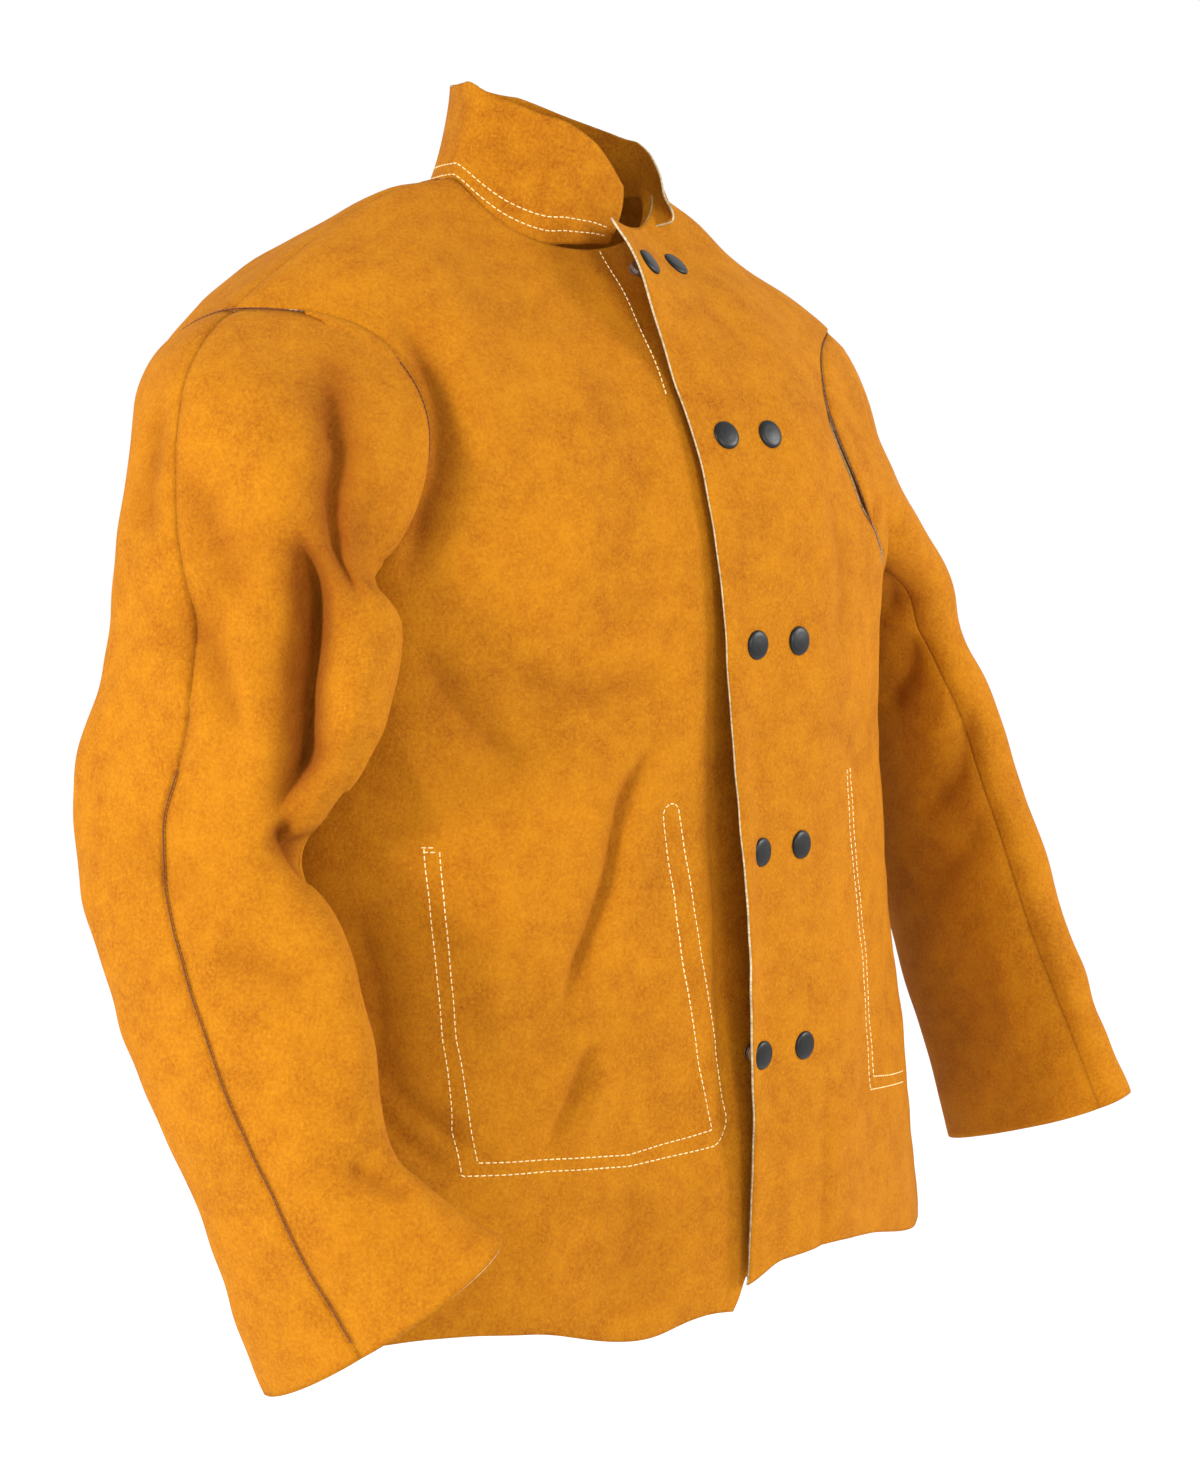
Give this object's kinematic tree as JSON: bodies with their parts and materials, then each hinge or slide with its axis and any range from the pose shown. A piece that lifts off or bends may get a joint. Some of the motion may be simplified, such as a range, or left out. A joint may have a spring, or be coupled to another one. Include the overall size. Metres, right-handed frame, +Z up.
{
  "type": "leather welding jacket",
  "caption": "Split-leather welding jacket with set-in sleeves, stand-up collar, inside pocket bags and a snap-fastened front that laps left over right.",
  "frame": {"origin": "middle of the neck hole, level with the two sides of the neck, where a hanger or a form holds the jacket", "axes": "+X to the wearer's left, +Y to the wearer's back, +Z up; the front faces -Y"},
  "size_m": [0.8286, 0.4447, 0.8417],
  "materials": {
    "body_leather": "napped split-leather suede, golden tan",
    "sleeve_leather": "napped split-leather suede, golden tan",
    "collar_leather": "napped split-leather suede, golden tan, raw grey-beige cut edge",
    "pocket_leather": "napped split-leather suede, flesh side",
    "stitching": "pale cream heat-resistant sewing thread",
    "seam_thread": "dark red-brown sewing thread",
    "snap_cap_black": "black enamelled dome, satin",
    "snap_metal": "plain pressed steel"
  },
  "bodies": {
    "body": {"back_panel": "body_leather", "right_front_panel": "body_leather", "left_front_panel": "body_leather", "collar": "collar_leather", "right_pocket_bag": "pocket_leather", "left_pocket_bag": "pocket_leather", "snap_stud_1a": "snap_metal", "snap_stud_1b": "snap_metal", "snap_stud_2a": "snap_metal", "snap_stud_2b": "snap_metal", "snap_stud_3a": "snap_metal", "snap_stud_3b": "snap_metal", "snap_stud_4a": "snap_metal", "snap_stud_4b": "snap_metal", "snap_stud_5a": "snap_metal", "snap_stud_5b": "snap_metal", "snap_post_1a": "snap_metal", "snap_post_1b": "snap_metal", "snap_post_2a": "snap_metal", "snap_post_2b": "snap_metal", "snap_post_3a": "snap_metal", "snap_post_3b": "snap_metal", "snap_post_4a": "snap_metal", "snap_post_4b": "snap_metal", "snap_post_5a": "snap_metal", "snap_post_5b": "snap_metal"},
    "front_flap": {"left_front_flap": "body_leather", "snap_cap_1a": "snap_cap_black", "snap_cap_1b": "snap_cap_black", "snap_cap_2a": "snap_cap_black", "snap_cap_2b": "snap_cap_black", "snap_cap_3a": "snap_cap_black", "snap_cap_3b": "snap_cap_black", "snap_cap_4a": "snap_cap_black", "snap_cap_4b": "snap_cap_black", "snap_cap_5a": "snap_cap_black", "snap_cap_5b": "snap_cap_black", "snap_socket_1a": "snap_metal", "snap_socket_1b": "snap_metal", "snap_socket_2a": "snap_metal", "snap_socket_2b": "snap_metal", "snap_socket_3a": "snap_metal", "snap_socket_3b": "snap_metal", "snap_socket_4a": "snap_metal", "snap_socket_4b": "snap_metal", "snap_socket_5a": "snap_metal", "snap_socket_5b": "snap_metal"},
    "right_sleeve": {"right_sleeve_top": "sleeve_leather", "right_sleeve_under": "sleeve_leather"},
    "left_sleeve": {"left_sleeve_top": "sleeve_leather", "left_sleeve_under": "sleeve_leather"}
  },
  "joints": [
    {"name": "front_opening", "type": "hinge", "parent": "body", "child": "front_flap", "pos_m": [0.1205, -0.17, -0.766], "axis": [0, 0.04, 0.9992], "range_deg": [0, 40]},
    {"name": "right_shoulder", "type": "hinge", "parent": "body", "child": "right_sleeve", "pos_m": [-0.2419, -0.014, -0.191], "axis": [-0.9397, -0.342, 0], "range_deg": [0, 50]},
    {"name": "left_shoulder", "type": "hinge", "parent": "body", "child": "left_sleeve", "pos_m": [0.2419, -0.014, -0.191], "axis": [-0.9397, 0.342, 0], "range_deg": [-10, 50]}
  ]
}
